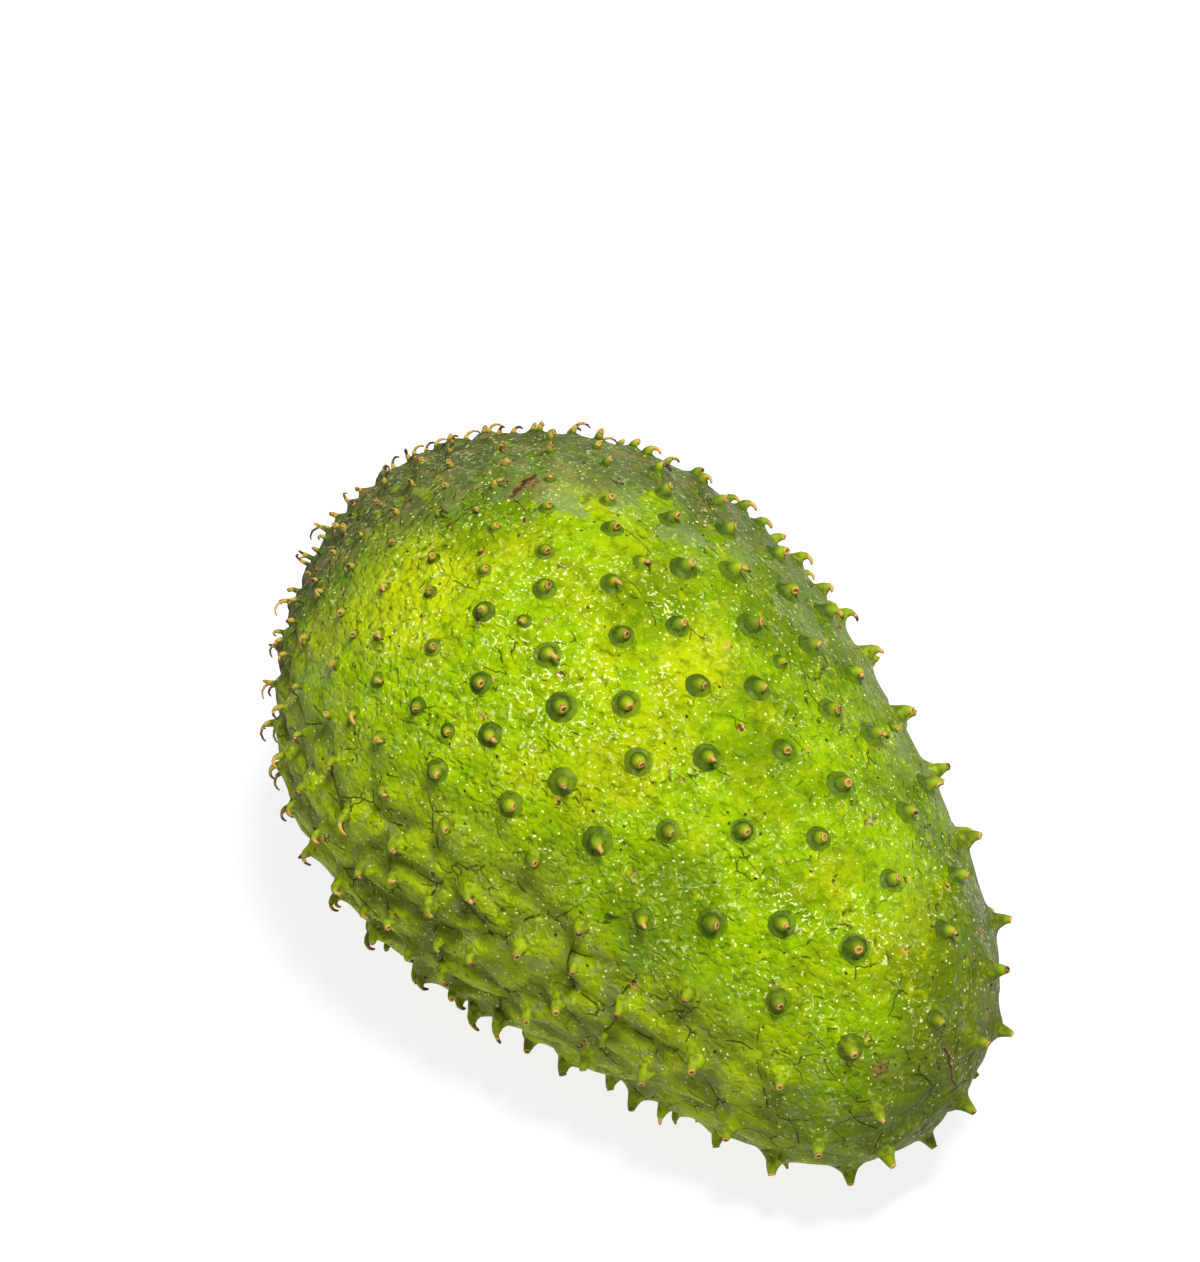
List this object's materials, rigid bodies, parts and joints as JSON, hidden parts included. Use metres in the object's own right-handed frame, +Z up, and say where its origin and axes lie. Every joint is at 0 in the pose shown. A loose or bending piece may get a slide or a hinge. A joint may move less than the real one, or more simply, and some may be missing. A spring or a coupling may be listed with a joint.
{
  "type": "whole soursop",
  "caption": "Whole soursop fruit lying on its side: a fleshy egg-shaped body covered with short hooked spines, wide at the stalk end.",
  "frame": {"origin": "on the flat spot that the fruit rests on, straight under its centre of mass", "axes": "+X runs level under the fruit's long axis, towards the narrow blossom end; +Z is up; the wide stalk end is at -X"},
  "size_m": [0.2052, 0.1389, 0.1273],
  "materials": {
    "skin": "waxy yellow-green fruit skin with darker spines"
  },
  "bodies": {
    "root": {"soursop": "skin"}
  },
  "joints": []
}
